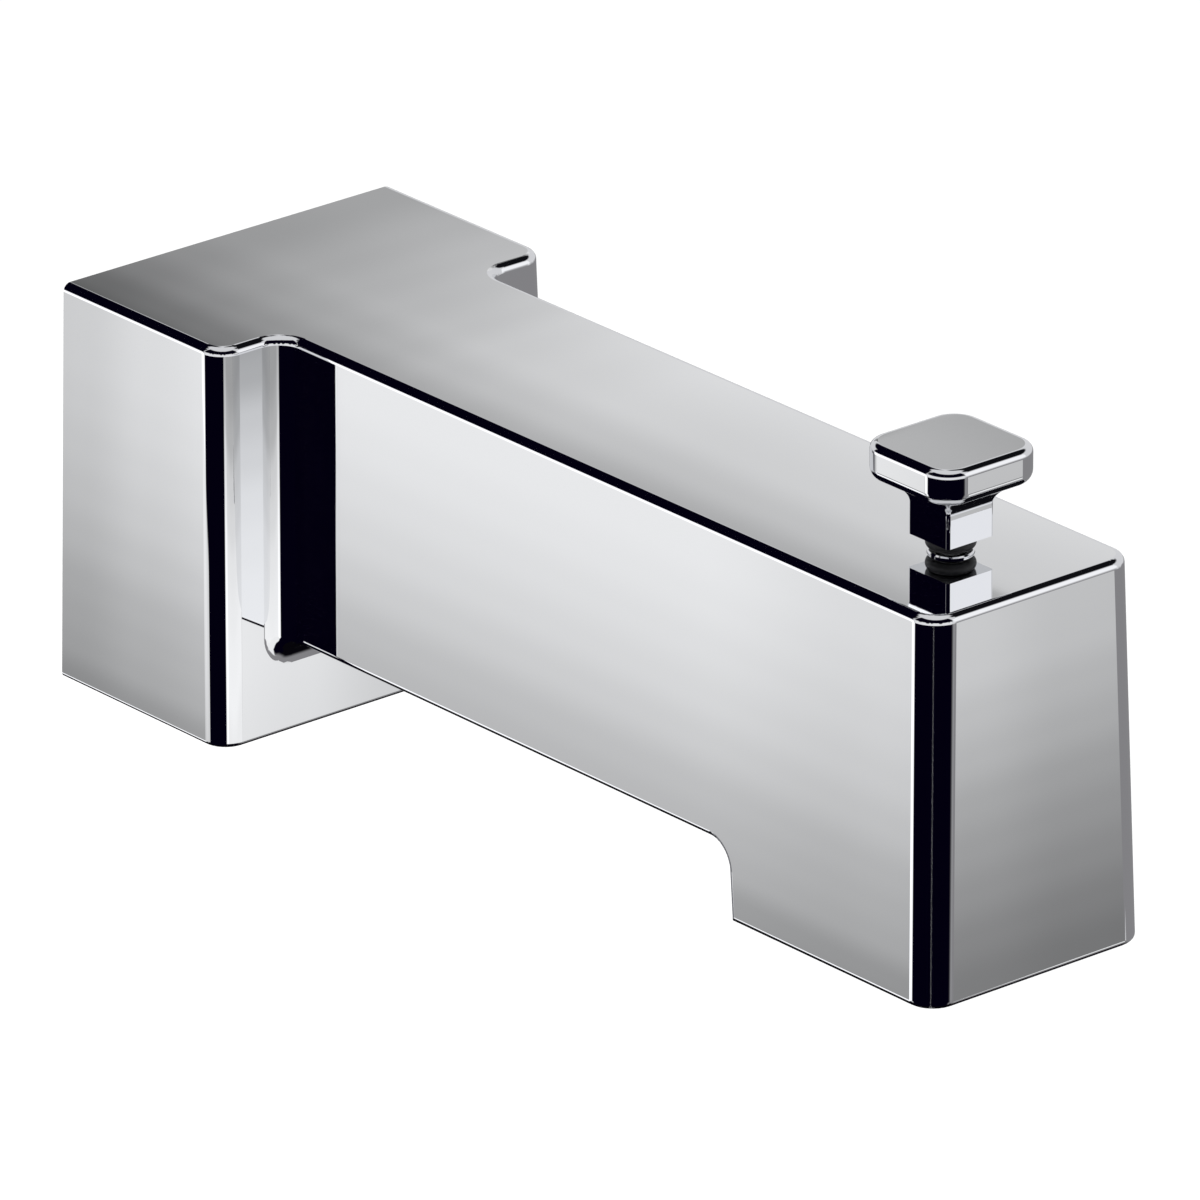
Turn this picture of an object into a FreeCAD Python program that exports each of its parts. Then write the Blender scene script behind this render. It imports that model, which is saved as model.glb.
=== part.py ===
import FreeCAD, Part
import math
import os

# Bath spout with a lift diverter, for a slip-fit copper supply tube.
# Lengths are in millimetres and angles in degrees.
# X runs across the spout, -Y out of the wall and +Z up. The origin is the inlet's axis in the wall plane.
# A distance from the wall is called a depth, and is -Y.

# Casting, outside
projection = 184.0
block_width = 63.6
block_height = 63.6
block_depth = 37.1
arm_width = 39.1
arm_height = 48.6
nose_height = 60.4
lip_length = 43.8
lip_lean = 1.2
draft_angle = 1.45
wall = 2.8
block_corner = 4.0
nose_corner = 4.5
root_fillet = 4.0
top_round = 1.3
arm_round = 1.0
rim_round = 0.7
lip_corner = 4.5
inside_corner = 1.5

# Supply tube's hub
bore_radius = 8.0
hub_wall = 4.0
mouth_depth = 0.3
mouth_chamfer = 0.5
bore_depth = 31.7
stop_thickness = 3.0
socket_length = 13.0
inlet_ring_setbacks = (12.5, 5.5)
hub_collar_radius = 14.0
hub_collar_thickness = 2.0

# Plate that holds the hub in the casting
plate_thickness = 3.0
plate_side_gap = 1.5
plate_end_gap = 6.0
plate_corner = 4.5
boss_radius = 3.8
boss_length = 6.0
boss_web = 2.2

# Set screw that grips the supply tube
set_screw_depth = 12.0
set_screw_radius = 3.0
set_screw_length = 8.0
set_screw_retreat = 0.4
set_screw_sunk = 0.6
set_screw_chamfer = 0.4
set_screw_key_depth = 3.0
set_screw_boss_radius = 5.0
set_screw_hex = 3.0
set_screw_access_radius = 3.5

# Water tube between hub and diverter
tube_radius = 6.0
tube_wall = 1.0
slip_clearance = 0.08
end_clearance = 0.2
ring_width = 2.2
ring_shoulder = 0.45
ring_groove_width = 2.6
ring_groove_depth = 1.6
ring_proud = 0.05

# Diverter housing
rod_setback = 18.4
housing_side_gap = 4.25
housing_wall = 2.2
socket_wall = 2.7
socket_floor = 1.8
chamber_behind_rod = 9.6
chamber_roof_thickness = 4.4
channel_gap = 5.1
channel_front_wall = 1.5
channel_above_lip = 8.6
port_side_margin = 2.8
port_height = 9.5
port_bottom = 3.0
ear_thickness = 3.0
ear_radius = 3.0
post_radius = 3.4
post_length = 12.9
post_blend = 0.6
post_gap = 0.7
guide_rib_depth = 1.5
guide_rib_width = 1.7
seat_lip_height = 0.5
seat_lip_width = 1.2
housing_corner = 2.0
channel_corner = 1.2

# Screws
thread_clearance = 0.02
hole_clearance = 0.2
plate_screw_radius = 2.0
plate_screw_length = 10.0
housing_screw_radius = 1.75
housing_screw_length = 9.0
screw_end_room = 1.0

# A screw's head, recess and point, as shares of its shank's radius
head_radius_share = 1.85
head_height_share = 1.25
head_chamfer_share = 0.55
tip_chamfer_share = 0.4
recess_width_share = 0.45
recess_length_share = 1.9
recess_depth_share = 0.75

# Lift rod and what runs on it
rod_radius = 2.0
rod_clearance = 0.05
rod_chamfer = 0.4
lift_travel = 11.5
bush_neck_radius = 3.45
bush_flange_radius = 6.0
bush_flange_thickness = 2.0
bush_proud = 0.4
bush_chamfer = 0.2
bush_clearance = 0.05
rod_ring_width = 2.2
rod_ring_thickness = 2.2
rod_ring_clearance = 0.03
bumper_section = 0.95
bumper_centre_radius = 2.8
clip_radius = 4.2
clip_thickness = 0.8
clip_groove_radius = 1.5
clip_tooth_width = 1.8
clip_ring_gap = 0.5
washer_radius = 4.0
washer_thickness = 1.0

# Gate
moving_clearance = 0.3
gate_side_clearance = 0.4
gate_thickness = 2.0
gate_margin = 1.5
seal_thickness = 1.2
seal_inset = 0.8
seal_stem_radius = 1.2
seal_bulb_radius = 1.75
seal_stem_x = 4.0
seal_stem_rise = 3.2
gate_rod_gap = 0.4
gate_boss_half_width = 4.5
gate_boss_wall = 1.8
gate_boss_height = 6.4
rod_in_gate = 5.4
pin_radius = 0.8

# Knob
neck_gap = 2.65
neck_half_width = 4.4
neck_corner = 0.5
cap_half_width = 9.65
cap_corner = 4.5
cap_top_round = 1.2
cap_bottom_round = 2.0
cap_rise = 17.0
cap_thickness = 5.8
flare_height = 3.4
flare_steps = 5
rod_in_knob = 8.0

# Lengths nearer than this count as equal, and a cut runs this far past what it cuts
close = 0.01
over = 1.0

# Places that follow from the sizes above
draft = math.tan(math.radians(draft_angle))
top = block_height / 2
block_bottom = -block_height / 2
arm_bottom = top - arm_height
lip_bottom = top - nose_height
ceiling = top - wall
lip_back = projection - lip_length
rod_depth = projection - rod_setback
neck_bottom = top + neck_gap
knob_top = top + cap_rise
bore_end = mouth_depth + bore_depth
plate_front = block_depth - wall - boss_length
plate_depth = plate_front - plate_thickness
plate_width = block_width - 2 * wall - 2 * plate_side_gap
plate_height = block_height - 2 * wall - 2 * plate_end_gap
plate_screw_x = plate_width / 2 - plate_corner
plate_screw_z = plate_height / 2 - plate_corner
inlet_ring_depths = [bore_end - setback for setback in inlet_ring_setbacks]
hub_radius = bore_radius + hub_wall
socket_start = bore_end + stop_thickness
hub_end = socket_start + socket_length
waterway_radius = tube_radius - tube_wall
socket_radius = tube_radius + slip_clearance
socket_outer_radius = socket_radius + socket_wall
gate_back = rod_depth + rod_radius + gate_rod_gap
gate_front = gate_back + gate_thickness
seat_face = gate_front + seal_thickness + moving_clearance + seat_lip_height
channel_back = seat_face + housing_wall
channel_front = channel_back + channel_gap
housing_front = channel_front + channel_front_wall
channel_bottom = lip_bottom + channel_above_lip
housing_top = ceiling - bush_flange_thickness
rod_pocket_radius = rod_radius + rod_ring_thickness
housing_half_width = arm_width / 2 - wall - housing_side_gap
chamber_roof = housing_top - chamber_roof_thickness
chamber_half_width = housing_half_width - housing_wall
port_width = 2 * (chamber_half_width - port_side_margin)
port_top = port_bottom + port_height
gate_top = port_top + gate_margin - lift_travel
gate_bottom = port_bottom - gate_margin - lift_travel
chamber_floor = gate_bottom - moving_clearance
chamber_back = rod_depth - chamber_behind_rod
housing_back = chamber_back - housing_wall
housing_socket_end = housing_back - socket_floor
housing_socket_start = housing_socket_end - socket_length
gate_half_width = chamber_half_width - gate_side_clearance
post_x = arm_width / 2 - wall - post_radius + post_blend
post_depth = housing_back - post_radius - post_gap
post_end = ceiling - post_length
ear_bottom = post_end - ear_thickness
tube_start = socket_start + end_clearance
tube_end = housing_socket_end - end_clearance
tube_ring_depths = (socket_start + socket_length / 2, housing_socket_start + socket_length / 2)
washer_top = chamber_roof - lift_travel - moving_clearance
clip_top = washer_top - washer_thickness
pin_height = gate_top - rod_in_gate / 2
seal_stem_z = gate_bottom + seal_stem_rise


def at(x, depth, z):
    # A point given by its distance from the wall
    return FreeCAD.Vector(x, -depth, z)


OUTWARD = FreeCAD.Vector(0, -1, 0)
UPWARD = FreeCAD.Vector(0, 0, 1)
ACROSS = FreeCAD.Vector(1, 0, 0)


def upright(radius, x, depth, low, high):
    return Part.makeCylinder(radius, high - low, at(x, depth, low), UPWARD)


def level(radius, x, z, back, front):
    # A cylinder that runs out of the wall
    return Part.makeCylinder(radius, front - back, at(x, back, z), OUTWARD)


def across(radius, half_length, z):
    # A cylinder that crosses the rod's axis
    return Part.makeCylinder(radius, 2 * half_length, at(-half_length, rod_depth, z), ACROSS)


def block(half_width, back, front, low, high):
    return Part.makeBox(2 * half_width, front - back, high - low, at(-half_width, front, low))


def solid_from(bottom_points, top_points):
    # A closed solid with flat sides between two polygons of as many points
    count = len(bottom_points)
    loops = [bottom_points, top_points]
    for i in range(count):
        j = (i + 1) % count
        loops.append([bottom_points[i], bottom_points[j], top_points[j], top_points[i]])
    faces = [Part.Face(Part.makePolygon(loop + [loop[0]])) for loop in loops]
    solid = Part.makeSolid(Part.makeShell(faces))
    if solid.Volume < 0:
        solid.reverse()
    return solid


def drafted_slab(half_width, back, front, low, high, front_draft):
    # A slab whose sides, and its front if asked, lean out towards the bottom, by the mould's draft
    def corners(z):
        spread = draft * (top - z)
        x = half_width + spread
        y = front + (spread if front_draft else 0)
        return [at(-x, back, z), at(x, back, z), at(x, y, z), at(-x, y, z)]
    return solid_from(corners(low), corners(high))


def edges_where(shape, test):
    return [edge for edge in shape.Edges if test(edge.BoundBox)]


def is_upright(box, height):
    return box.ZLength > 0.9 * height


def is_level(box):
    return box.ZLength < close


def runs_outward(box):
    return box.XLength < close and box.ZLength < close


def turned(outline, axis_point, axis, start):
    # A solid turned from (radius, distance along the axis) points
    points = [axis_point + start * radius + axis * along for radius, along in outline]
    face = Part.Face(Part.makePolygon(points + [points[0]]))
    return face.revolve(axis_point, axis, 360)


def squeezed_ring(inner, outer, width, axis_point, axis, start):
    # An O-ring pressed flat between two walls, so only its shoulders still slope
    half = width / 2
    flat = half - ring_shoulder
    outline = [
        (inner, -flat), (inner + ring_shoulder, -half), (outer - ring_shoulder, -half), (outer, -flat),
        (outer, flat), (outer - ring_shoulder, half), (inner + ring_shoulder, half), (inner, flat),
    ]
    return turned(outline, axis_point, axis, start)


def ring_in_groove(depth, inner_radius):
    # A ring against the bottom of its groove, a little proud of the bore that it seals
    outer = inner_radius + ring_groove_depth
    inner = bore_radius - ring_proud if inner_radius == bore_radius else tube_radius
    return squeezed_ring(inner, outer, ring_width, at(0, depth, 0), OUTWARD, UPWARD)


def ring_groove(depth, inner_radius):
    back = depth - ring_groove_width / 2
    return level(inner_radius + ring_groove_depth, 0, 0, back, back + ring_groove_width)


def side_form(inset, back, bottom):
    # The arm and lip seen from the side, as wide as the drafted sides allow
    def front_at(z):
        return projection + draft * (top - z) - inset

    def lip_back_at(z):
        share = (arm_bottom - z) / (arm_bottom - lip_bottom)
        return lip_back + lip_lean * share + inset

    high = top - inset
    underside = arm_bottom + inset
    outline = [
        (back, high),
        (front_at(high), high),
        (front_at(bottom), bottom),
        (lip_back_at(bottom), bottom),
        (lip_back_at(underside), underside),
        (back, underside),
    ]
    points = [at(-block_width, depth, z) for depth, z in outline]
    face = Part.Face(Part.makePolygon(points + [points[0]]))
    slab = face.extrude(FreeCAD.Vector(2 * block_width, 0, 0))

    def at_lip_corner(box):
        near_depth = abs(-box.YMin - lip_back_at(underside)) < close
        return box.XLength > block_width and near_depth and abs(box.ZMin - underside) < close
    slab = slab.makeFillet(lip_corner + inset, edges_where(slab, at_lip_corner))
    sides = drafted_slab(arm_width / 2 - inset, back, projection + nose_height, bottom, high, False)
    form = slab.common(sides)

    def at_nose(box):
        return is_upright(box, high - bottom) and -box.YMin > front_at(high) - close
    return form.makeFillet(nose_corner - inset, edges_where(form, at_nose))


def shell_outside():
    arm = side_form(0, 0, lip_bottom)

    def along_underside(box):
        low_edge = box.ZMax < arm_bottom + close and box.XLength < nose_corner and box.ZMin > lip_bottom - close
        return low_edge and box.YLength + box.ZLength > arm_round and -box.YMax < lip_back + lip_lean + close
    arm = arm.makeFillet(arm_round, edges_where(arm, along_underside))

    root = drafted_slab(block_width / 2, 0, block_depth, block_bottom, top, True)

    def at_front_corner(box):
        return is_upright(box, block_height) and -box.YMin > block_depth - close
    root = root.makeFillet(block_corner, edges_where(root, at_front_corner))
    body = root.fuse(arm).removeSplitter()

    # The round where the arm leaves the block, down both sides and under the arm
    front_low = block_depth + draft * block_height

    def at_arm_root(box):
        inside = -box.YMax > block_depth - close and -box.YMin < front_low + close
        across = box.XLength < arm_width + root_fillet and abs(box.Center.x) < (arm_width + root_fillet) / 2
        low_enough = arm_bottom - top_round < box.ZMin < top - top_round
        return inside and across and low_enough and box.DiagonalLength < block_width
    body = body.makeFillet(root_fillet, edges_where(body, at_arm_root))

    def on_top(box):
        return box.ZMin > top - close and -box.YMin > close
    body = body.makeFillet(top_round, edges_where(body, on_top))

    def on_block_bottom(box):
        return box.ZMax < block_bottom + close and -box.YMin > close
    return body.makeFillet(rim_round, edges_where(body, on_block_bottom))


def spout_shell():
    body = shell_outside()
    root_bottom = block_bottom + wall
    root_hollow = drafted_slab(block_width / 2 - wall, -over, block_depth - wall, root_bottom, ceiling, True)
    arm_hollow = side_form(wall, block_depth - 2 * wall, lip_bottom - over)
    body = body.cut(root_hollow.fuse(arm_hollow))

    # Bosses for the hub's flange screws, and posts for the diverter's
    for x in (-plate_screw_x, plate_screw_x):
        for z in (-plate_screw_z, plate_screw_z):
            body = body.fuse(level(boss_radius, x, z, plate_front, block_depth - wall / 2))
            web_end = math.copysign(block_width / 2 - wall / 2, x)
            web = Part.makeBox(abs(web_end - x), boss_length + wall / 2, boss_web)
            web.translate(at(min(x, web_end), block_depth - wall / 2, z - boss_web / 2))
            body = body.fuse(web)
            pilot = plate_screw_radius + thread_clearance
            reach = plate_depth + plate_screw_length + screw_end_room
            body = body.cut(level(pilot, x, z, plate_front - over, reach))
    for x in (-post_x, post_x):
        body = body.fuse(upright(post_radius, x, post_depth, post_end, top - wall / 2))
        pilot = housing_screw_radius + thread_clearance
        reach = ear_bottom + housing_screw_length + screw_end_room
        body = body.cut(upright(pilot, x, post_depth, post_end - over, reach))

    # Holes for the rod's bush and for the key that turns the set screw
    body = body.cut(upright(bush_neck_radius + bush_clearance, 0, rod_depth, ceiling - over, top + over))
    key_way = upright(set_screw_access_radius, 0, set_screw_depth, block_bottom - over, root_bottom + over)
    return body.cut(key_way)


def inlet_hub():
    collar_back = plate_depth - hub_collar_thickness
    body = level(hub_radius, 0, 0, mouth_depth, socket_start)
    body = body.fuse(level(hub_collar_radius, 0, 0, collar_back, plate_depth))
    body = body.fuse(level(socket_outer_radius, 0, 0, socket_start, hub_end)).removeSplitter()
    boss_bottom = -(bore_radius + set_screw_retreat + set_screw_length + set_screw_sunk)
    body = body.fuse(upright(set_screw_boss_radius, 0, set_screw_depth, boss_bottom, 0))
    body = body.cut(level(bore_radius, 0, 0, mouth_depth - over, bore_end))
    body = body.cut(level(waterway_radius, 0, 0, bore_end - over, socket_start + over))
    body = body.cut(level(socket_radius, 0, 0, socket_start, hub_end + over))
    wide = bore_radius + mouth_chamfer
    body = body.cut(Part.makeCone(wide, bore_radius, mouth_chamfer, at(0, mouth_depth, 0), OUTWARD))
    for depth in inlet_ring_depths:
        body = body.cut(ring_groove(depth, bore_radius))
    body = body.cut(ring_groove(tube_ring_depths[0], socket_radius))
    tapped = upright(set_screw_radius + thread_clearance, 0, set_screw_depth, boss_bottom - over, 0)
    return body.cut(tapped)


def hub_plate():
    # Staked on the hub against its collar, and screwed to the casting's bosses
    body = block(plate_width / 2, plate_depth, plate_front, -plate_height / 2, plate_height / 2)
    body = body.makeFillet(plate_corner, edges_where(body, runs_outward))
    body = body.cut(level(hub_radius, 0, 0, plate_depth - over, plate_front + over))
    for x in (-plate_screw_x, plate_screw_x):
        for z in (-plate_screw_z, plate_screw_z):
            hole = level(plate_screw_radius + hole_clearance, x, z, plate_depth - over, plate_front + over)
            body = body.cut(hole)
    return body


def set_screw():
    tip = -(bore_radius + set_screw_retreat)
    body = upright(set_screw_radius, 0, set_screw_depth, tip - set_screw_length, tip)
    body = body.makeChamfer(set_screw_chamfer, edges_where(body, is_level))
    key_base = at(0, set_screw_depth, tip - set_screw_length - over)
    key = hexagon_prism(set_screw_hex, key_base, set_screw_key_depth + over)
    return body.cut(key)


def hexagon_prism(across_flats, base, height):
    corner = across_flats / math.sqrt(3)
    turns = [math.radians(60 * i) for i in range(6)]
    points = [base + FreeCAD.Vector(corner * math.cos(t), corner * math.sin(t), 0) for t in turns]
    face = Part.Face(Part.makePolygon(points + [points[0]]))
    return face.extrude(FreeCAD.Vector(0, 0, height))


def pan_screw(radius, length):
    # A pan-head screw standing on its point's axis: the head is below z = 0 and the shank above
    head_radius = head_radius_share * radius
    head_height = head_height_share * radius
    head = Part.makeCylinder(head_radius, head_height, FreeCAD.Vector(0, 0, -head_height), UPWARD)
    head_bottom = edges_where(head, lambda box: box.ZMax < -head_height + close)
    head = head.makeChamfer(head_chamfer_share * radius, head_bottom)
    shank = Part.makeCylinder(radius, length, FreeCAD.Vector(0, 0, 0), UPWARD)
    shank_end = edges_where(shank, lambda box: box.ZMin > length - close)
    shank = shank.makeChamfer(tip_chamfer_share * radius, shank_end)
    body = head.fuse(shank)
    recess_width = recess_width_share * radius
    recess_length = recess_length_share * radius
    recess_depth = recess_depth_share * radius
    for size_x, size_y in ((recess_length, recess_width), (recess_width, recess_length)):
        corner = FreeCAD.Vector(-size_x / 2, -size_y / 2, -head_height - over)
        body = body.cut(Part.makeBox(size_x, size_y, recess_depth + over, corner))
    return body


def plate_screws():
    screws = []
    for x in (-plate_screw_x, plate_screw_x):
        for z in (-plate_screw_z, plate_screw_z):
            screw = pan_screw(plate_screw_radius, plate_screw_length)
            screw.rotate(FreeCAD.Vector(0, 0, 0), ACROSS, 90)
            screw.translate(at(x, plate_depth, z))
            screws.append(screw)
    return Part.makeCompound(screws)


def housing_screws():
    screws = []
    for x in (-post_x, post_x):
        screw = pan_screw(housing_screw_radius, housing_screw_length)
        screw.translate(at(x, post_depth, ear_bottom))
        screws.append(screw)
    return Part.makeCompound(screws)


def waterway_tube():
    return level(tube_radius, 0, 0, tube_start, tube_end).cut(
        level(waterway_radius, 0, 0, tube_start - over, tube_end + over))


def diverter_housing():
    chamber_bottom = chamber_floor - housing_wall
    channel_top = port_top + housing_wall
    channel_roof = channel_top + housing_wall
    chamber_body = block(housing_half_width, housing_back, channel_back, chamber_bottom, housing_top)
    channel_body = block(housing_half_width, seat_face, housing_front, channel_bottom, channel_roof)

    def at_chamber_back(box):
        return box.ZLength > housing_top - channel_roof and -box.YMax < housing_back + close

    def at_channel_front(box):
        return box.ZLength > channel_roof - channel_bottom - close and -box.YMin > housing_front - close
    chamber_body = chamber_body.makeFillet(housing_corner, edges_where(chamber_body, at_chamber_back))
    channel_body = channel_body.makeFillet(channel_corner, edges_where(channel_body, at_channel_front))
    body = chamber_body.fuse(channel_body).removeSplitter()
    socket = level(socket_outer_radius, 0, 0, housing_socket_start, housing_back + over)
    body = body.fuse(socket)
    ear_back = post_depth - ear_radius
    body = body.fuse(block(post_x, ear_back, housing_back + housing_wall / 2, ear_bottom, post_end))
    for x in (-post_x, post_x):
        body = body.fuse(upright(ear_radius, x, post_depth, ear_bottom, post_end))

    chamber = block(chamber_half_width, chamber_back, seat_face, chamber_floor, chamber_roof)
    channel = block(chamber_half_width, channel_back, channel_front, channel_bottom - over, channel_top)
    port = block(port_width / 2, seat_face - over, channel_back + over, port_bottom, port_top)
    port = port.makeFillet(inside_corner, edges_where(port, runs_outward))
    body = body.cut(chamber).cut(channel)
    seat_lip = block(port_width / 2 + seat_lip_width, seat_face - seat_lip_height, seat_face + close,
                     port_bottom - seat_lip_width, port_top + seat_lip_width)
    seat_lip = seat_lip.makeFillet(inside_corner + seat_lip_width, edges_where(seat_lip, runs_outward))
    body = body.fuse(seat_lip).cut(port)
    body = body.cut(level(socket_radius, 0, 0, housing_socket_start - over, housing_socket_end))
    body = body.cut(level(waterway_radius, 0, 0, housing_socket_end - over, chamber_back + over))
    body = body.cut(ring_groove(tube_ring_depths[1], socket_radius))

    # Ribs that keep the gate against its seat wall
    rib_front = gate_back - moving_clearance
    for side in (-1, 1):
        rib = Part.makeBox(guide_rib_width, guide_rib_depth, port_top + gate_margin - chamber_floor)
        inner_x = chamber_half_width - guide_rib_width
        rib.translate(at(inner_x if side > 0 else -chamber_half_width, rib_front, chamber_floor))
        body = body.fuse(rib)

    # The rod's way in, with a pocket for its O-ring
    rod_way = upright(rod_radius + rod_clearance, 0, rod_depth, chamber_roof - over, housing_top + over)
    body = body.cut(rod_way)
    pocket_bottom = housing_top - rod_ring_width
    body = body.cut(upright(rod_pocket_radius, 0, rod_depth, pocket_bottom, housing_top + over))
    for x in (-post_x, post_x):
        hole_radius = housing_screw_radius + hole_clearance
        hole = upright(hole_radius, x, post_depth, ear_bottom - over, post_end + over)
        body = body.cut(hole)
    return body.removeSplitter()


def rod_bushing():
    body = upright(bush_flange_radius, 0, rod_depth, housing_top, ceiling)
    body = body.fuse(upright(bush_neck_radius, 0, rod_depth, ceiling, top + bush_proud)).removeSplitter()
    body = body.makeChamfer(bush_chamfer, edges_where(body, lambda box: box.ZMin > top + bush_proud - close))
    bore = upright(rod_radius + rod_clearance, 0, rod_depth, housing_top - over, top + bush_proud + over)
    return body.cut(bore)


def rod_o_ring():
    centre = at(0, rod_depth, housing_top - rod_ring_width / 2)
    inner = rod_radius + rod_ring_clearance
    return squeezed_ring(inner, rod_pocket_radius, rod_ring_width, centre, UPWARD, ACROSS)


def lift_rod():
    low = gate_top - rod_in_gate
    high = neck_bottom + rod_in_knob
    body = upright(rod_radius, 0, rod_depth, low, high)
    body = body.makeChamfer(rod_chamfer, edges_where(body, is_level))
    groove = upright(rod_radius + over, 0, rod_depth, clip_top - clip_thickness, clip_top)
    groove = groove.cut(upright(clip_groove_radius, 0, rod_depth, low, high))
    pin_hole = across(pin_radius, 2 * rod_radius, pin_height)
    return body.cut(groove).cut(pin_hole)


def knob_bumper():
    centre = at(0, rod_depth, neck_bottom - bumper_section)
    ring = Part.makeTorus(bumper_centre_radius, bumper_section, centre, UPWARD)
    return ring.cut(upright(rod_radius, 0, rod_depth, top, neck_bottom))


def stop_washer():
    body = upright(washer_radius, 0, rod_depth, clip_top, washer_top)
    return body.cut(upright(rod_radius + thread_clearance, 0, rod_depth, clip_top - over, washer_top + over))


def rod_clip():
    # An E-clip: a ring with three inner teeth and a mouth that opens towards the wall
    low = clip_top - clip_thickness
    body = upright(clip_radius, 0, rod_depth, low, clip_top)
    body = body.cut(upright(rod_radius + clip_ring_gap, 0, rod_depth, low - over, clip_top + over))
    for turn in (-90, 30, 150):
        tooth_length = (rod_radius + clip_ring_gap + clip_radius) / 2 - clip_groove_radius
        corner = FreeCAD.Vector(clip_groove_radius, -clip_tooth_width / 2, 0)
        tooth = Part.makeBox(tooth_length, clip_tooth_width, clip_thickness, corner)
        tooth.rotate(FreeCAD.Vector(0, 0, 0), UPWARD, turn)
        tooth.translate(at(0, rod_depth, low))
        body = body.fuse(tooth)
    mouth = block(clip_groove_radius, rod_depth - clip_radius - over, rod_depth, low - over, clip_top + over)
    return body.cut(mouth)


def diverter_gate():
    plate = block(gate_half_width, gate_back, gate_front, gate_bottom, gate_top)
    boss_back = rod_depth - rod_radius - gate_boss_wall
    boss = block(gate_boss_half_width, boss_back, gate_front, gate_top - gate_boss_height, gate_top)

    def at_boss_back(box):
        return box.ZLength > gate_boss_height - close and -box.YMax < boss_back + close
    boss = boss.makeFillet(gate_boss_wall, edges_where(boss, at_boss_back))
    body = plate.fuse(boss).removeSplitter()
    rod_hole = upright(rod_radius + thread_clearance, 0, rod_depth, gate_top - rod_in_gate, gate_top + over)
    body = body.cut(rod_hole)
    body = body.cut(across(pin_radius, 2 * gate_boss_half_width, pin_height))
    for x in (-seal_stem_x, seal_stem_x):
        hole_radius = seal_stem_radius + thread_clearance
        hole = level(hole_radius, x, seal_stem_z, gate_back - over, gate_front + over)
        body = body.cut(hole)
    return body


def gate_seal():
    # A rubber pad with two stems that snap through the gate
    body = block(gate_half_width - seal_inset, gate_front, gate_front + seal_thickness,
                 gate_bottom + seal_inset, gate_top - seal_inset)
    body = body.makeFillet(inside_corner, edges_where(body, runs_outward))
    bulb_length = seal_bulb_radius
    for x in (-seal_stem_x, seal_stem_x):
        stem = level(seal_stem_radius, x, seal_stem_z, gate_back, gate_front)
        bulb = Part.makeCone(seal_stem_radius, seal_bulb_radius, bulb_length,
                             at(x, gate_back - bulb_length, seal_stem_z), OUTWARD)
        body = body.fuse(stem).fuse(bulb)
    return body.removeSplitter()


def gate_pin():
    return across(pin_radius, gate_boss_half_width, pin_height)


def rounded_square(half_width, corner, z):
    # A closed outline round the rod's axis
    straight = half_width - corner
    edges = []
    for turn in range(4):
        middle = math.radians(90 * turn + 45)
        x_sign = 1 if math.cos(middle) > 0 else -1
        y_sign = 1 if math.sin(middle) > 0 else -1
        centre = FreeCAD.Vector(x_sign * straight, y_sign * straight, 0)
        arc = Part.makeCircle(corner, centre, UPWARD, 90 * turn, 90 * turn + 90)
        edges.append(arc)
    outline = []
    for turn in range(4):
        arc, following = edges[turn], edges[(turn + 1) % 4]
        outline.append(arc)
        outline.append(Part.makeLine(arc.lastVertex().Point, following.firstVertex().Point))
    wire = Part.Wire(outline)
    wire.translate(at(0, rod_depth, z))
    return wire


def lift_knob():
    cap_bottom = knob_top - cap_thickness
    cap = Part.Face(rounded_square(cap_half_width, cap_corner, cap_bottom)).extrude(
        FreeCAD.Vector(0, 0, cap_thickness))
    cap = cap.makeFillet(cap_top_round, edges_where(cap, lambda box: box.ZMin > knob_top - close))
    cap = cap.makeFillet(cap_bottom_round, edges_where(cap, lambda box: box.ZMax < cap_bottom + close))

    # The underside flares from the neck into the cap
    rim = cap_half_width - cap_bottom_round
    rim_corner = cap_corner - cap_bottom_round
    sections = []
    for i in range(flare_steps + 1):
        share = i / flare_steps
        spread = 1 - math.cos(share * math.pi / 2)
        half = neck_half_width + (rim - neck_half_width) * spread
        corner = neck_corner + (rim_corner - neck_corner) * spread
        sections.append(rounded_square(half, corner, cap_bottom - flare_height * (1 - share)))
    flare = Part.makeLoft(sections, True, False)
    neck_top = cap_bottom - flare_height
    neck = Part.Face(rounded_square(neck_half_width, neck_corner, neck_bottom)).extrude(
        FreeCAD.Vector(0, 0, neck_top - neck_bottom))
    body = cap.fuse(flare).fuse(neck).removeSplitter()
    socket_top = neck_bottom + rod_in_knob
    return body.cut(upright(rod_radius + thread_clearance, 0, rod_depth, neck_bottom - over, socket_top))


PIECES = {
    "spout_shell": spout_shell,
    "inlet_hub": inlet_hub,
    "hub_plate": hub_plate,
    "inlet_o_ring_rear": lambda: ring_in_groove(inlet_ring_depths[0], bore_radius),
    "inlet_o_ring_front": lambda: ring_in_groove(inlet_ring_depths[1], bore_radius),
    "set_screw": set_screw,
    "plate_screws": plate_screws,
    "waterway_tube": waterway_tube,
    "tube_o_ring_rear": lambda: ring_in_groove(tube_ring_depths[0], socket_radius),
    "tube_o_ring_front": lambda: ring_in_groove(tube_ring_depths[1], socket_radius),
    "diverter_housing": diverter_housing,
    "housing_screws": housing_screws,
    "rod_bushing": rod_bushing,
    "rod_o_ring": rod_o_ring,
    "lift_rod": lift_rod,
    "lift_knob": lift_knob,
    "knob_bumper": knob_bumper,
    "stop_washer": stop_washer,
    "rod_clip": rod_clip,
    "diverter_gate": diverter_gate,
    "gate_seal": gate_seal,
    "gate_pin": gate_pin,
}

os.makedirs("parts", exist_ok=True)
for name, make in PIECES.items():
    shape = make()
    print(name, "solids", len(shape.Solids), "valid", shape.isValid(), "volume", round(shape.Volume, 2))
    shape.exportStep(f"parts/{name}.step")
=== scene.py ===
import bpy
import math
from mathutils import Matrix, Vector


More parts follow.
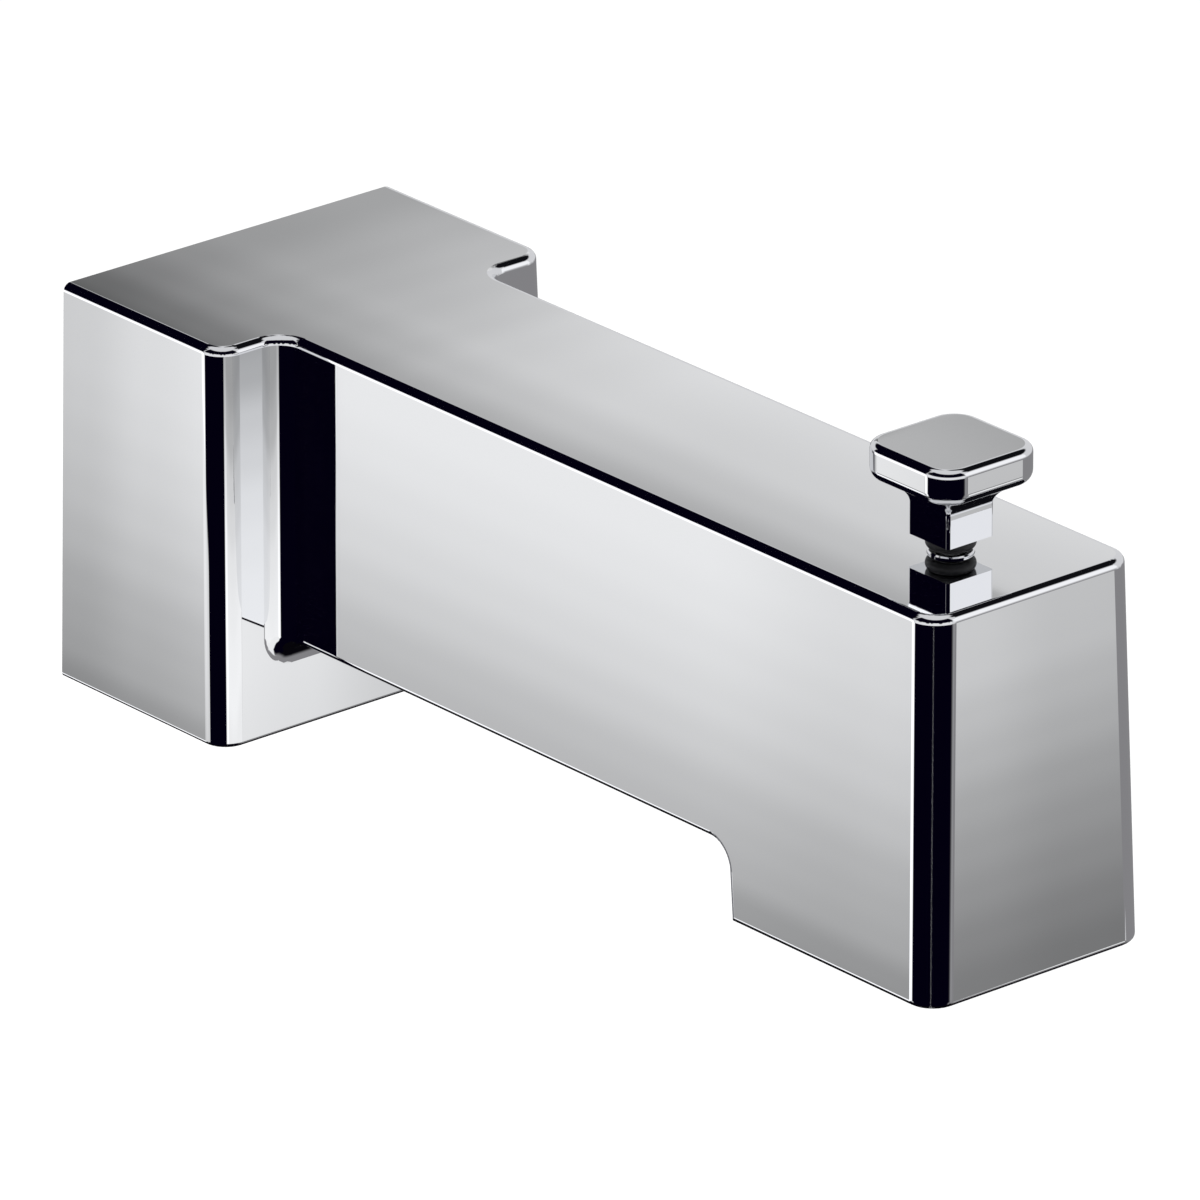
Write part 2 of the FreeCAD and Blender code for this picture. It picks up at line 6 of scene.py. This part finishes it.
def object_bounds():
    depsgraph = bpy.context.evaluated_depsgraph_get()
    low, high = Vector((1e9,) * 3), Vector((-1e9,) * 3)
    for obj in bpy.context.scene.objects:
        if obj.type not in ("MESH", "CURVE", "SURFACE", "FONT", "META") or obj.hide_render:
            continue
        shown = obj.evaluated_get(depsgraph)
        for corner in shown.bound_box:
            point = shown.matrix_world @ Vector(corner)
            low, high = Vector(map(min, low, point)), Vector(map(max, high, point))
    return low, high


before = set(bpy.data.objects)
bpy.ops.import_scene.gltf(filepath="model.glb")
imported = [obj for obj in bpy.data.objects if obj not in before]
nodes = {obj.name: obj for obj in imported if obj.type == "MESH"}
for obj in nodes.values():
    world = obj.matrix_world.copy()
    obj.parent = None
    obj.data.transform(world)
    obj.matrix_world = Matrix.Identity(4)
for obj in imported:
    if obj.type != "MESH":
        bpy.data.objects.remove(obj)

cadLow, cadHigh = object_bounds()
mm = 0.001
white = (1, 1, 1, 1)
scene = bpy.context.scene
print("frame loaded:", len(nodes), "nodes")


def linear(hexColour, strength=1.0):
    # sRGB hex to linear light
    channels = [int(hexColour[i:i + 2], 16) / 255 for i in (1, 3, 5)]
    light = [c / 12.92 if c <= 0.04045 else ((c + 0.055) / 1.055) ** 2.4 for c in channels]
    return (*[c * strength for c in light], 1.0)


def addNode(tree, kind, settings=None, inputs=None):
    # Adds a node, sets its properties, and fills or links its inputs
    node = tree.nodes.new(kind)
    for name, value in (settings or {}).items():
        setattr(node, name, value)
    for name, value in (inputs or {}).items():
        if isinstance(value, bpy.types.NodeSocket):
            tree.links.new(value, node.inputs[name])
        else:
            node.inputs[name].default_value = value
    return node


def makeMaterial(name, paint, *settings):
    # A material whose surface is the shader that paint adds to its node tree
    material = bpy.data.materials.new(name)
    material.use_nodes = True
    tree = material.node_tree
    tree.nodes.clear()
    addNode(tree, "ShaderNodeOutputMaterial", None, {"Surface": paint(tree, *settings)})
    return material


def addSheet(name, corners, paint, *settings):
    # One flat face through the corners, with its own material
    mesh = bpy.data.meshes.new(name)
    mesh.from_pydata(corners, [], [tuple(range(len(corners)))])
    mesh.materials.append(makeMaterial(name, paint, *settings))
    sheet = bpy.data.objects.new(name, mesh)
    scene.collection.objects.link(sheet)
    return sheet


# The camera stands where the photographer's did, far off with a long lens,
# so that the spout's sides stay nearly parallel
camera = {
    "azimuth": -40.0524,            # degrees, 0 looks along +Y
    "elevation": 22.6189,
    "roll": 0.185,
    "distance": 2308.006 * mm,
    "lens": 467.8,                  # mm
    "sensor": 36,                   # mm wide
    "clip": (0.05, 20),
    "aim": Vector((0, -92, -0.2)) * mm,
    "slide": (-3.1339 * mm, 1.0058 * mm),
}


def addCamera():
    az, el, roll = [math.radians(camera[k]) for k in ("azimuth", "elevation", "roll")]
    right = Vector((math.cos(az), math.sin(az), 0))
    back = Vector((math.sin(az) * math.cos(el), -math.cos(az) * math.cos(el), math.sin(el)))
    up = back.cross(right)
    place = camera["aim"] + right * camera["slide"][0] + up * camera["slide"][1] + back * camera["distance"]
    xAxis = right * math.cos(roll) - up * math.sin(roll)
    yAxis = right * math.sin(roll) + up * math.cos(roll)
    data = bpy.data.cameras.new("camera")
    data.sensor_width = camera["sensor"]
    data.lens = camera["lens"]
    data.clip_start, data.clip_end = camera["clip"]
    eye = bpy.data.objects.new("camera", data)
    eye.matrix_world = Matrix((
        (xAxis.x, yAxis.x, back.x, place.x),
        (xAxis.y, yAxis.y, back.y, place.y),
        (xAxis.z, yAxis.z, back.z, place.z),
        (0, 0, 0, 1),
    ))
    scene.collection.objects.link(eye)
    scene.camera = eye


addCamera()
print("camera placed")


# The room that the chrome mirrors: each panel is a soft-edged window of azimuth and elevation, in degrees.
# Azimuth 0 is in front of the spout (-Y), 90 to its left (-X) and 180 behind the wall.
# Later panels cover earlier ones.
studio = {
    "room": "#dcdcde",              # tone of all that no panel covers
    "plainLight": 0.8,              # what matt surfaces get
    "panels": [
        # name, azimuth from and to, elevation from and to, soft edge, tone, strength
        ("dark floor", -20, 380, -100, -36, 3, "#08070c", 1.0),
        ("grey behind", 152, 226, -37, -6, 5, "#707074", 1.0),
        ("dark front left", -26, 123, -62, -14, 2, "#030110", 1.0),
        ("white low front left", -20, 118, -11, 8, 4, "#f0f0f2", 1.0),
        ("dark above front left", -26, 123, 13, 56, 3, "#030110", 1.0),
        ("dark back left", 126, 153, 1, 44, 3, "#030110", 1.0),
        ("dark above back", 140, 216, 28, 54, 3, "#030110", 1.0),
        ("dark upper right", 222, 312, 37, 60, 4, "#101014", 1.0),
        ("grey right", 232, 336, -45, -8, 6, "#8b8a8c", 1.0),
        ("white front right", 306, 334, 0, 32, 3, "#f4f4f6", 1.15),
        ("white back left", 124, 150, -34, 0, 3, "#fafafc", 1.35),
    ],
}


def windowMask(tree, value, low, high, edge):
    # 1 between low and high, falling smoothly to 0 across the edge
    smooth = {"interpolation_type": "SMOOTHSTEP"}
    rise = addNode(tree, "ShaderNodeMapRange", smooth,
                   {"Value": value, "From Min": low - edge, "From Max": low + edge})
    fall = addNode(tree, "ShaderNodeMapRange", smooth,
                   {"Value": value, "From Min": high - edge, "From Max": high + edge,
                    "To Min": 1.0, "To Max": 0.0})
    return addNode(tree, "ShaderNodeMath", {"operation": "MULTIPLY"},
                   {0: rise.outputs["Result"], 1: fall.outputs["Result"]}).outputs[0]


def addWorld():
    world = bpy.data.worlds.new("studio")
    scene.world = world
    world.use_nodes = True
    tree = world.node_tree
    tree.nodes.clear()
    direction = addNode(tree, "ShaderNodeTexCoord").outputs["Generated"]
    split = addNode(tree, "ShaderNodeSeparateXYZ", None, {0: direction}).outputs
    # arctan2(x, y) in degrees, plus 180, runs from 0 at -Y through 90 at -X
    turn = addNode(tree, "ShaderNodeMath", {"operation": "ARCTAN2"}, {0: split["X"], 1: split["Y"]})
    azimuth = addNode(tree, "ShaderNodeMath", {"operation": "MULTIPLY_ADD"},
                      {0: turn.outputs[0], 1: math.degrees(1), 2: 180.0}).outputs[0]
    rise = addNode(tree, "ShaderNodeMath", {"operation": "ARCSINE"}, {0: split["Z"]})
    elevation = addNode(tree, "ShaderNodeMath", {"operation": "MULTIPLY"},
                        {0: rise.outputs[0], 1: math.degrees(1)}).outputs[0]
    colour = linear(studio["room"])
    for name, az0, az1, el0, el1, edge, hexColour, strength in studio["panels"]:
        up = windowMask(tree, elevation, el0, el1, edge)
        across = windowMask(tree, azimuth, az0, az1, edge)
        if az0 < 0:
            # The part of the panel on the other side of the seam at azimuth 0
            beyond = windowMask(tree, azimuth, az0 + 360, az1 + 360, edge)
            across = addNode(tree, "ShaderNodeMath", {"operation": "MAXIMUM"},
                             {0: across, 1: beyond}).outputs[0]
        mask = addNode(tree, "ShaderNodeMath", {"operation": "MULTIPLY"}, {0: up, 1: across}).outputs[0]
        colour = addNode(tree, "ShaderNodeMix", {"data_type": "RGBA", "label": name},
                         {0: mask, 6: colour, 7: linear(hexColour, strength)}).outputs[2]
    mirrored = addNode(tree, "ShaderNodeBackground", None, {"Color": colour, "Strength": 1.0})
    plain = addNode(tree, "ShaderNodeBackground", None, {"Color": white, "Strength": studio["plainLight"]})
    rays = addNode(tree, "ShaderNodeLightPath").outputs
    mixed = addNode(tree, "ShaderNodeMixShader", None,
                    {0: rays["Is Glossy Ray"], 1: plain.outputs[0], 2: mirrored.outputs[0]})
    addNode(tree, "ShaderNodeOutputWorld", None, {"Surface": mixed.outputs[0]})


addWorld()
print("world lit")


# Light cards near the spout, seen only in the metal, whose shading slides across its flat sides.
# A card stands square to its normal axis, at a place in mm, with its outline and ramps along the other two.
# A ramp holds (place in mm, tone), where 0 is black, 1 is white and the two ramps' tones are multiplied.
cards = {
    "left card": {
        "normalAxis": 0, "place": -260, "softEdge": 4.0,
        "outline": [(45, -200), (318, -200), (318, -84), (45, -84)],
        "rampFirst": [(60, 0.90), (97, 0.94), (140, 1.0), (232, 1.0), (260, 0.94), (277, 0.88),
                      (300, 0.84)],
        "rampSecond": [(-178, 0.62), (-170, 0.665), (-164, 0.745), (-158, 0.77), (-152, 0.795),
                       (-143, 0.857), (-135, 0.90), (-126, 0.932), (-118, 0.958), (-110, 0.975),
                       (-100, 0.98)],
    },
    "front card": {
        "normalAxis": 1, "place": -460, "softEdge": 4.0,
        "outline": [(190, -190), (300, -190), (300, -70), (190, -70)],
        "rampFirst": [(200, 1.03), (226, 0.99), (246, 0.94), (280, 0.92)],
        "rampSecond": [(-182, 0.50), (-171, 0.525), (-163, 0.565), (-155, 0.615), (-147, 0.658),
                       (-139, 0.70), (-131, 0.757), (-123, 0.797), (-115, 0.842), (-107, 0.85),
                       (-92, 0.89)],
    },
    # Too low for the nose to see, but the part of the block's front below the arm does
    "low front card": {
        "normalAxis": 1, "place": -462,
        "outline": [(270, -300), (345, -300), (345, -192), (270, -192)],
        "rampFirst": [(295, 0.98), (315, 0.955), (335, 0.89), (345, 0.85)],
        "rampSecond": [(-240, 0.97), (-214, 1.0), (-196, 0.98)],
    },
    # Beside the nose and lit only towards the wall, for the block's front and the corners on both sides of it
    "block card": {
        "normalAxis": 1, "place": -170, "softEdge": 4.0, "oneSided": True,
        "outline": [(-131, -2), (-21, -2), (-21, -36), (49, -36), (49, -114), (-131, -114)],
        "rampFirst": [(-117, 1.0), (-113, 1.06), (-104, 1.06), (-90, 0.96)],
        "rampSecond": [(-80, 1.03), (-72, 1.06), (-64, 1.05), (-57, 1.03), (-49, 1.0), (-42, 0.94),
                       (-35, 0.89), (-28, 0.77), (-18, 0.68)],
    },
    "top card": {
        "normalAxis": 2, "place": 180, "softEdge": 4.0,
        "outline": [(165, 74), (300, 74), (300, 330), (165, 330)],
        "rampFirst": [(195, 0.52), (206, 0.70), (215, 0.83), (226, 0.93), (238, 1.0), (269, 1.06)],
        "rampSecond": [(84, 0.845), (120, 0.86), (160, 0.86), (190, 0.872), (208, 0.855), (224, 0.83),
                       (236, 0.79), (250, 0.755), (262, 0.725), (275, 0.69), (293, 0.635)],
    },
    # Just below the top card, where only the knob's cap sees it from the photograph's angle
    "cap card": {
        "normalAxis": 2, "place": 179, "softEdge": 1.75,
        "outline": [(186, 46), (232, 46), (232, 87), (186, 87)],
        "rampFirst": [(205, 0.735), (228, 0.69)],
        "rampSecond": [(60, 0.98), (82, 1.0)],
    },
}
toneGamma = 2.2                     # turns a tone to linear light, near enough to sRGB for a smooth ramp


def rampAlong(tree, value, stops):
    # A line through (place, tone) stops, built as a sum of steps
    total = addNode(tree, "ShaderNodeValue")
    total.outputs[0].default_value = stops[0][1]
    for (x0, y0), (x1, y1) in zip(stops, stops[1:]):
        step = addNode(tree, "ShaderNodeMapRange", {"interpolation_type": "SMOOTHSTEP"},
                       {"Value": value, "From Min": x0, "From Max": x1, "To Min": 0.0, "To Max": y1 - y0})
        total = addNode(tree, "ShaderNodeMath", {"operation": "ADD"},
                        {0: step.outputs[0], 1: total.outputs[0]})
    return total.outputs[0]


def paintCard(tree, card, axes):
    place = addNode(tree, "ShaderNodeNewGeometry").outputs["Position"]
    scaled = addNode(tree, "ShaderNodeVectorMath", {"operation": "SCALE"}, {0: place, "Scale": 1 / mm})
    parts = addNode(tree, "ShaderNodeSeparateXYZ", None, {0: scaled.outputs[0]}).outputs
    firstTone, secondTone = [rampAlong(tree, parts[axis], card[ramp])
                             for axis, ramp in zip(axes, ("rampFirst", "rampSecond"))]
    tone = addNode(tree, "ShaderNodeMath", {"operation": "MULTIPLY"}, {0: firstTone, 1: secondTone})
    light = addNode(tree, "ShaderNodeMath", {"operation": "POWER"}, {0: tone.outputs[0], 1: toneGamma})
    glow = addNode(tree, "ShaderNodeEmission", None, {"Color": white, "Strength": light.outputs[0]})
    if "softEdge" in card:
        edge = card["softEdge"]
        masks = [windowMask(tree, parts[axis], min(values) + edge, max(values) - edge, edge)
                 for axis, values in zip(axes, zip(*card["outline"]))]
        mask = addNode(tree, "ShaderNodeMath", {"operation": "MULTIPLY"}, {0: masks[0], 1: masks[1]})
        clear = addNode(tree, "ShaderNodeBsdfTransparent")
        glow = addNode(tree, "ShaderNodeMixShader", None,
                       {0: mask.outputs[0], 1: clear.outputs[0], 2: glow.outputs[0]})
    if card.get("oneSided"):
        behind = addNode(tree, "ShaderNodeNewGeometry").outputs["Backfacing"]
        clear = addNode(tree, "ShaderNodeBsdfTransparent")
        glow = addNode(tree, "ShaderNodeMixShader", None,
                       {0: behind, 1: glow.outputs[0], 2: clear.outputs[0]})
    return glow.outputs[0]


def addCard(name, card):
    axes = [axis for axis in range(3) if axis != card["normalAxis"]]
    corners = []
    for first, second in card["outline"]:
        point = [card["place"] * mm] * 3
        point[axes[0]] = first * mm
        point[axes[1]] = second * mm
        corners.append(point)
    sheet = addSheet(name, corners, paintCard, card, axes)
    sheet.visible_camera = False
    sheet.visible_diffuse = False
    sheet.visible_shadow = False


for name, card in cards.items():
    addCard(name, card)
print("cards hung:", len(cards))


# Pale floor, well below the spout as under one on a wall
floor = {
    "drop": 330 * mm,
    "reach": 6.0,                   # metres to each side
    "colour": "#f6f6f6",
    "shadowShare": 0.3,             # how much of the shadow the camera sees
}


def paintFloor(tree):
    paper = addNode(tree, "ShaderNodeBsdfDiffuse", None, {"Color": linear(floor["colour"])})
    glow = addNode(tree, "ShaderNodeEmission", None, {"Color": white, "Strength": 1.0})
    rays = addNode(tree, "ShaderNodeLightPath").outputs
    share = addNode(tree, "ShaderNodeMath", {"operation": "MULTIPLY"},
                    {0: rays["Is Camera Ray"], 1: 1 - floor["shadowShare"]})
    lit = addNode(tree, "ShaderNodeMixShader", None,
                  {0: share.outputs[0], 1: paper.outputs[0], 2: glow.outputs[0]})
    # Clear from below, so that the outlet can be looked at
    below = addNode(tree, "ShaderNodeNewGeometry").outputs["Backfacing"]
    clear = addNode(tree, "ShaderNodeBsdfTransparent")
    return addNode(tree, "ShaderNodeMixShader", None,
                   {0: below, 1: lit.outputs[0], 2: clear.outputs[0]}).outputs[0]


def addFloor():
    low = cadLow.z - floor["drop"]
    reach = floor["reach"]
    corners = [(-reach, -reach, low), (reach, -reach, low), (reach, reach, low), (-reach, reach, low)]
    ground = addSheet("floor", corners, paintFloor)
    ground.visible_glossy = False   # the metal shows the studio's panels in its place


addFloor()
print("floor laid")


# Neither lamp shows in the metal, which has the cards and panels instead.
# The back lamp lights the open inlet.
lamps = {
    "key lamp": {"place": Vector((-0.9, -1.1, 1.2)), "size": 0.9, "watts": 26},
    "back lamp": {"place": Vector((-0.25, 1.0, 0.3)), "size": 0.5, "watts": 14},
}


def addLamp(name, look):
    data = bpy.data.lights.new(name, "AREA")
    data.size = look["size"]
    data.energy = look["watts"]
    lamp = bpy.data.objects.new(name, data)
    lamp.location = look["place"]
    lamp.rotation_euler = look["place"].to_track_quat("Z", "Y").to_euler()
    lamp.visible_camera = False
    lamp.visible_glossy = False
    scene.collection.objects.link(lamp)


for name, look in lamps.items():
    addLamp(name, look)
print("lamps hung:", len(lamps))


def twoTones(tree, place, look, cloudSize, detail):
    # The look's two tones, mixed in soft clouds of a size in mm
    clouds = addNode(tree, "ShaderNodeTexNoise", None,
                     {"Vector": place, "Scale": 1 / (cloudSize * mm), "Detail": detail}).outputs["Fac"]
    return addNode(tree, "ShaderNodeMix", {"data_type": "RGBA"},
                   {0: clouds, 6: linear(look["colour"]), 7: linear(look["darker"])}).outputs[2]


def grainNormal(tree, place, look, detail, strength):
    # A normal that the look's grain bumps
    grain = addNode(tree, "ShaderNodeTexNoise", None,
                    {"Vector": place, "Scale": 1 / (look["grain"] * mm), "Detail": detail})
    return addNode(tree, "ShaderNodeBump", None,
                   {"Strength": strength, "Distance": look["depth"] * mm,
                    "Height": grain.outputs["Fac"]}).outputs["Normal"]


# Chrome plate over polished zinc: a mirror with a cool cast, a faint long ripple from the polishing wheel
# and hairline wiping marks that only soften the brightest edges
chrome = {
    "colour": "#edeef0", "roughness": 0.015,
    "ripple": 24.0, "rippleDepth": 0.003,                   # mm
    "hairlineWidth": 0.25, "hairlineLength": 6.25,          # mm, wider than real ones so that they show
    "hairlineRoughness": 0.02, "hairlineLevels": (0.45, 0.8),
}


def paintChrome(tree):
    place = addNode(tree, "ShaderNodeTexCoord").outputs["Object"]
    ripple = addNode(tree, "ShaderNodeTexNoise", None,
                     {"Vector": place, "Scale": 1 / (chrome["ripple"] * mm), "Detail": 1.0})
    bump = addNode(tree, "ShaderNodeBump", None,
                   {"Strength": 1.0, "Distance": chrome["rippleDepth"] * mm, "Height": ripple.outputs["Fac"]})
    across, along = [1 / (chrome[size] * mm) for size in ("hairlineWidth", "hairlineLength")]
    stretched = addNode(tree, "ShaderNodeVectorMath", {"operation": "MULTIPLY"},
                        {0: place, 1: (across, along, across)})
    wiping = addNode(tree, "ShaderNodeTexNoise", None,
                     {"Vector": stretched.outputs[0], "Scale": 1.0, "Detail": 3.0})
    faint, full = chrome["hairlineLevels"]
    soft = addNode(tree, "ShaderNodeMapRange", None,
                   {"Value": wiping.outputs["Fac"], "From Min": faint, "From Max": full,
                    "To Min": chrome["roughness"],
                    "To Max": chrome["roughness"] + chrome["hairlineRoughness"]})
    return addNode(tree, "ShaderNodeBsdfPrincipled", None, {
        "Base Color": linear(chrome["colour"]), "Metallic": 1.0, "Roughness": soft.outputs[0],
        "Normal": bump.outputs["Normal"]}).outputs[0]


# The inside keeps the die's skin under a thin flash of plate, so it is grey, satin and slightly grained
castSkin = {
    "colour": "#b4b6b8", "darker": "#9a9c9f", "clouds": 14,
    "metallic": 0.5, "roughness": 0.42, "grain": 0.5, "depth": 0.03,
}


def paintCastSkin(tree):
    place = addNode(tree, "ShaderNodeTexCoord").outputs["Object"]
    return addNode(tree, "ShaderNodeBsdfPrincipled", None, {
        "Base Color": twoTones(tree, place, castSkin, castSkin["clouds"], 3.0),
        "Metallic": castSkin["metallic"], "Roughness": castSkin["roughness"],
        "Normal": grainNormal(tree, place, castSkin, 4.0, 0.6)}).outputs[0]


# The casting's sizes, in mm, which tell its plated outside from its dull inside
casting = {
    "wall": 2.8, "top": 31.8, "draft": 0.0253,
    "blockHalf": 31.8, "blockFront": 37.1, "blockBottom": -31.8,
    "armHalf": 19.55, "armFront": 184.0, "armBottom": -16.8,
    "lipBack": 141.0, "belowLip": -90,                      # the lip's hollow is open below
    "plateEnds": 0.2,                                       # half the width of the change
}


def depthInside(tree, axes, half, front, bottom, back=None):
    # How deep a point lies inside a drafted box that stands out from the wall, in mm
    spread = addNode(tree, "ShaderNodeMath", {"operation": "MULTIPLY_ADD"},
                     {0: axes["Z"], 1: -casting["draft"], 2: casting["draft"] * casting["top"]}).outputs[0]
    sideways = addNode(tree, "ShaderNodeMath", {"operation": "ABSOLUTE"}, {0: axes["X"]}).outputs[0]
    # Each side of the box: the sum that gives the depth below it, and whether it leans with the draft
    sides = [
        ("SUBTRACT", half, sideways, True), ("ADD", axes["Y"], front, True),
        ("SUBTRACT", casting["top"], axes["Z"], False), ("SUBTRACT", axes["Z"], bottom, False),
    ]
    if back is not None:
        sides.append(("SUBTRACT", -back, axes["Y"], False))
    depths = []
    for operation, first, second, leans in sides:
        depth = addNode(tree, "ShaderNodeMath", {"operation": operation}, {0: first, 1: second}).outputs[0]
        if leans:
            depth = addNode(tree, "ShaderNodeMath", {"operation": "ADD"}, {0: depth, 1: spread}).outputs[0]
        depths.append(depth)
    least = depths[0]
    for depth in depths[1:]:
        least = addNode(tree, "ShaderNodeMath", {"operation": "MINIMUM"}, {0: least, 1: depth}).outputs[0]
    return least


def insideCasting(tree):
    # 1 on the casting's inner walls and 0 outside, changing halfway through the wall
    place = addNode(tree, "ShaderNodeTexCoord").outputs["Object"]
    scaled = addNode(tree, "ShaderNodeVectorMath", {"operation": "SCALE"}, {0: place, "Scale": 1 / mm})
    axes = addNode(tree, "ShaderNodeSeparateXYZ", None, {0: scaled.outputs[0]}).outputs
    block = depthInside(tree, axes, casting["blockHalf"], casting["blockFront"], casting["blockBottom"])
    arm = depthInside(tree, axes, casting["armHalf"], casting["armFront"], casting["armBottom"])
    lip = depthInside(tree, axes, casting["armHalf"], casting["armFront"], casting["belowLip"],
                      casting["lipBack"])
    deepest = block
    for other in (arm, lip):
        deepest = addNode(tree, "ShaderNodeMath", {"operation": "MAXIMUM"},
                          {0: deepest, 1: other}).outputs[0]
    middle = casting["wall"] / 2
    return addNode(tree, "ShaderNodeMapRange", {"interpolation_type": "SMOOTHSTEP"},
                   {"Value": deepest, "From Min": middle - casting["plateEnds"],
                    "From Max": middle + casting["plateEnds"]}).outputs["Result"]


def paintCasting(tree):
    return addNode(tree, "ShaderNodeMixShader", None,
                   {0: insideCasting(tree), 1: paintChrome(tree), 2: paintCastSkin(tree)}).outputs[0]


# Turned brass: fine rings from the tool run round the axis and stretch the highlights across them
turnedBrass = {"colour": "#d3ac62", "darker": "#b98f48", "roughness": 0.24, "pitch": 0.18, "depth": 0.006}

# Drawn brass tube: smoother, with faint lines along its length and a slight tarnish
drawnBrass = {"colour": "#cfa963", "darker": "#b08a4c", "roughness": 0.3, "pitch": 0.35, "depth": 0.003}

# Stainless steel as turned or stamped: neutral and brushed one way
stainless = {"colour": "#c3c4c6", "darker": "#a2a3a6", "roughness": 0.26, "pitch": 0.15, "depth": 0.004}

# What these metals share: clouds of tarnish in mm, and how far the tool marks change the surface
toolMarks = {"clouds": 9, "smoother": 0.08, "rougher": 0.1, "bump": 0.8}

# How much the marks vary along X, Y and Z. Rings go round the axis that is named, and lines run along it.
markAxes = {
    "rings round X": (1, 0.05, 0.05),
    "rings round Y": (0.05, 1, 0.05),
    "rings round Z": (0.05, 0.05, 1),
    "lines along X": (0.03, 1, 1),
    "lines along Y": (1, 0.02, 1),
}


def paintLinedMetal(tree, look, marksRun):
    place = addNode(tree, "ShaderNodeTexCoord").outputs["Object"]
    fine = 1 / (look["pitch"] * mm)
    stretched = addNode(tree, "ShaderNodeVectorMath", {"operation": "MULTIPLY"},
                        {0: place, 1: tuple(fine * share for share in markAxes[marksRun])})
    marks = addNode(tree, "ShaderNodeTexNoise", None,
                    {"Vector": stretched.outputs[0], "Scale": 1.0, "Detail": 2.0}).outputs["Fac"]
    rough = addNode(tree, "ShaderNodeMapRange", None,
                    {"Value": marks, "To Min": look["roughness"] - toolMarks["smoother"],
                     "To Max": look["roughness"] + toolMarks["rougher"]})
    bump = addNode(tree, "ShaderNodeBump", None,
                   {"Strength": toolMarks["bump"], "Distance": look["depth"] * mm, "Height": marks})
    return addNode(tree, "ShaderNodeBsdfPrincipled", None, {
        "Base Color": twoTones(tree, place, look, toolMarks["clouds"], 4.0), "Metallic": 1.0,
        "Roughness": rough.outputs[0], "Normal": bump.outputs["Normal"]}).outputs[0]


# Nitrile rubber from a polished mould: near black with a soft sheen and a faint grey bloom
rubber = {
    "colour": "#101012", "bloom": "#222225", "bloomSize": 2.5, "bloomLevels": (0.45, 0.75),
    "roughness": 0.5, "grain": 0.3, "depth": 0.01,
}


def paintRubber(tree):
    place = addNode(tree, "ShaderNodeTexCoord").outputs["Object"]
    bloom = addNode(tree, "ShaderNodeTexNoise", None,
                    {"Vector": place, "Scale": 1 / (rubber["bloomSize"] * mm), "Detail": 4.0})
    faint, full = rubber["bloomLevels"]
    share = addNode(tree, "ShaderNodeMapRange", None,
                    {"Value": bloom.outputs["Fac"], "From Min": faint, "From Max": full})
    tint = addNode(tree, "ShaderNodeMix", {"data_type": "RGBA"},
                   {0: share.outputs[0], 6: linear(rubber["colour"]), 7: linear(rubber["bloom"])})
    return addNode(tree, "ShaderNodeBsdfPrincipled", None, {
        "Base Color": tint.outputs[2], "Roughness": rubber["roughness"],
        "Normal": grainNormal(tree, place, rubber, 3.0, 0.7)}).outputs[0]


# Acetal and nylon mouldings: ivory, waxy, slightly see-through at the edges, with the mould's eroded skin
acetal = {
    "colour": "#e8e3d5", "darker": "#d8d1bf", "clouds": 12, "roughness": 0.42,
    "grain": 0.6, "depth": 0.012, "seeThrough": 0.3, "lightDepth": 1.2,
}
nylon = {
    "colour": "#efece2", "darker": "#ddd8c8", "clouds": 12, "roughness": 0.35,
    "grain": 0.8, "depth": 0.008, "seeThrough": 0.3, "lightDepth": 2.0,
}
lightReach = (1.0, 0.8, 0.6)        # red goes deeper than green and blue


def paintPlastic(tree, look):
    place = addNode(tree, "ShaderNodeTexCoord").outputs["Object"]
    return addNode(tree, "ShaderNodeBsdfPrincipled", None, {
        "Base Color": twoTones(tree, place, look, look["clouds"], 2.0), "Roughness": look["roughness"],
        "Normal": grainNormal(tree, place, look, 3.0, 0.6), "Subsurface Weight": look["seeThrough"],
        "Subsurface Scale": look["lightDepth"] * mm, "Subsurface Radius": lightReach}).outputs[0]


chromePlate = makeMaterial("polished chrome plate", paintChrome)
steelUpright = makeMaterial("turned stainless steel", paintLinedMetal, stainless, "rings round Z")
nitrile = makeMaterial("moulded nitrile rubber", paintRubber)
looks = {
    "spout_shell": makeMaterial("chrome plated zinc casting", paintCasting),
    "lift_knob": chromePlate,
    "rod_bushing": chromePlate,
    "inlet_hub": makeMaterial("turned brass", paintLinedMetal, turnedBrass, "rings round Y"),
    "diverter_gate": makeMaterial("milled brass", paintLinedMetal, turnedBrass, "rings round X"),
    "waterway_tube": makeMaterial("drawn brass tube", paintLinedMetal, drawnBrass, "lines along Y"),
    "hub_plate": makeMaterial("brushed stainless sheet", paintLinedMetal, stainless, "lines along X"),
    "plate_screws": makeMaterial("stainless steel screw", paintLinedMetal, stainless, "rings round Y"),
    "set_screw": steelUpright,
    "housing_screws": steelUpright,
    "lift_rod": steelUpright,
    "rod_clip": steelUpright,
    "gate_pin": makeMaterial("ground stainless pin", paintLinedMetal, stainless, "rings round X"),
    "diverter_housing": makeMaterial("ivory acetal moulding", paintPlastic, acetal),
    "stop_washer": makeMaterial("natural nylon washer", paintPlastic, nylon),
}
for node, piece in nodes.items():
    for slot in piece.material_slots:
        slot.material = looks.get(node, nitrile)    # all other nodes are rubber
print("materials worn by", len(nodes), "nodes")

scene.view_settings.view_transform = "Standard"
